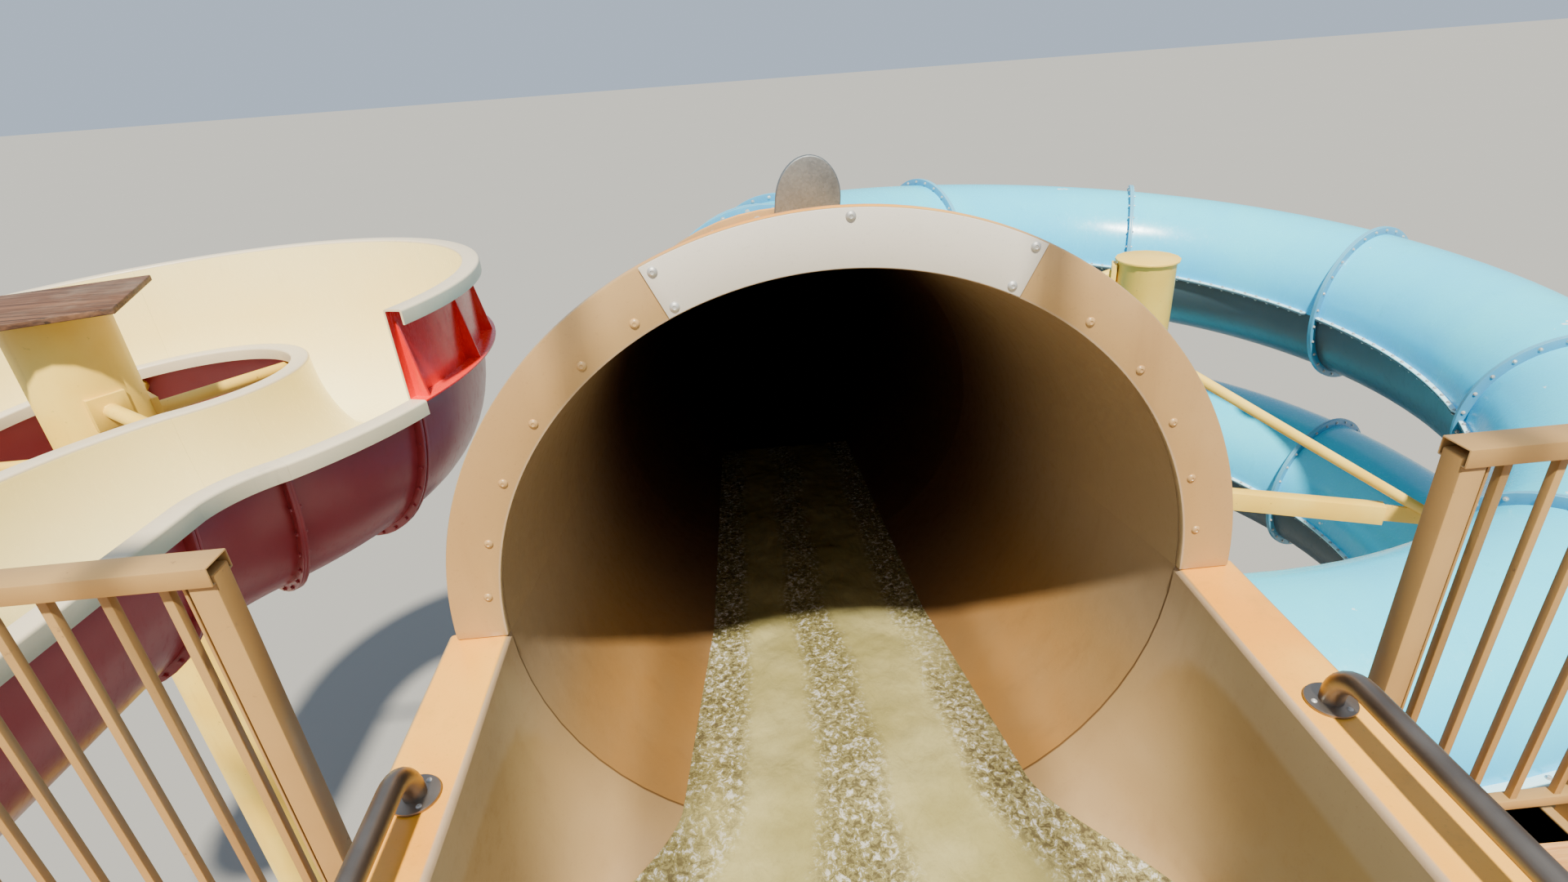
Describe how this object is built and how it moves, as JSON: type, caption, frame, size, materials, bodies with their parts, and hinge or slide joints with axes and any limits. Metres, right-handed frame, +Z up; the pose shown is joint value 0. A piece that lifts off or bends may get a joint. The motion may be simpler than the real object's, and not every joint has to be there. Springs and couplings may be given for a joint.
{
  "type": "water slide tower",
  "caption": "Timber start tower with a tub-fed enclosed tube slide coiled round a steel column, an open flume spiralling round its own column, and a switchback stair behind.",
  "frame": {"origin": "middle of the bounding box's footprint, at ground level", "axes": "+Z up, +Y the way riders leave through the tube's mouth, +X to their right"},
  "size_m": [14.165, 18.8632, 9.2203],
  "materials": {
    "tan_shell": "tan gelcoat on glass fibre, worn satin",
    "blue_shell": "sky blue gelcoat on glass fibre, sun-faded on top and slate blue below",
    "red_shell": "cream gelcoat inside, maroon gelcoat outside, white rim",
    "cream_steel": "cream paint on steel pipe and plate",
    "tan_steel": "tan paint on square steel tube",
    "brown_timber": "dark brown stained timber",
    "deck_timber": "light tan deck boards",
    "stainless": "stainless tube, brushed, dull brown reflections",
    "galvanised": "galvanised plate",
    "white_sheet": "bare white plate"
  },
  "bodies": {
    "root": {"tube_first_length": "tan_shell", "tube_second_length": "blue_shell", "tube_third_length": "blue_shell", "tube_entry_bend": "blue_shell", "tube_coil_quarter_1": "blue_shell", "tube_coil_quarter_2": "blue_shell", "tube_coil_quarter_3": "blue_shell", "tube_coil_quarter_4": "blue_shell", "tube_coil_quarter_5": "blue_shell", "tube_coil_quarter_6": "blue_shell", "coil_column": "cream_steel", "coil_bracket_a": "cream_steel", "coil_bracket_b": "cream_steel", "coil_bracket_c": "cream_steel", "coil_bracket_d": "cream_steel", "start_tub": "tan_shell", "entry_collar": "tan_shell", "sign_plate": "white_sheet", "joint_lug": "galvanised", "grab_rail_left": "stainless", "grab_rail_right": "stainless", "deck_planks": "deck_timber", "deck_frame": "brown_timber", "post_front_left": "brown_timber", "post_front_middle": "brown_timber", "post_front_right": "brown_timber", "post_back_left": "brown_timber", "post_back_middle": "brown_timber", "post_back_right": "brown_timber", "head_frame": "brown_timber", "brace_front": "brown_timber", "brace_back": "brown_timber", "brace_left": "brown_timber", "brace_right": "brown_timber", "railing_front_left": "tan_steel", "railing_front_right": "tan_steel", "railing_left": "tan_steel", "railing_right": "tan_steel", "railing_flume_right": "tan_steel", "railing_flume_left": "tan_steel", "railing_back_left": "tan_steel", "railing_back_middle": "tan_steel", "stair_upper_flight": "tan_steel", "stair_lower_flight": "tan_steel", "stair_landing": "deck_timber", "landing_frame": "brown_timber", "landing_railing": "tan_steel", "flume_start_length": "red_shell", "flume_right_bend": "red_shell", "flume_low_turn": "red_shell", "flume_tall_turn_1": "red_shell", "flume_tall_turn_2": "red_shell", "flume_tall_turn_3": "red_shell", "flume_end_length": "red_shell", "flume_column": "cream_steel", "flume_column_cap": "brown_timber", "flume_arm_1": "cream_steel", "flume_arm_2": "cream_steel", "flume_arm_3": "cream_steel", "flume_arm_4": "cream_steel"}
  },
  "joints": []
}
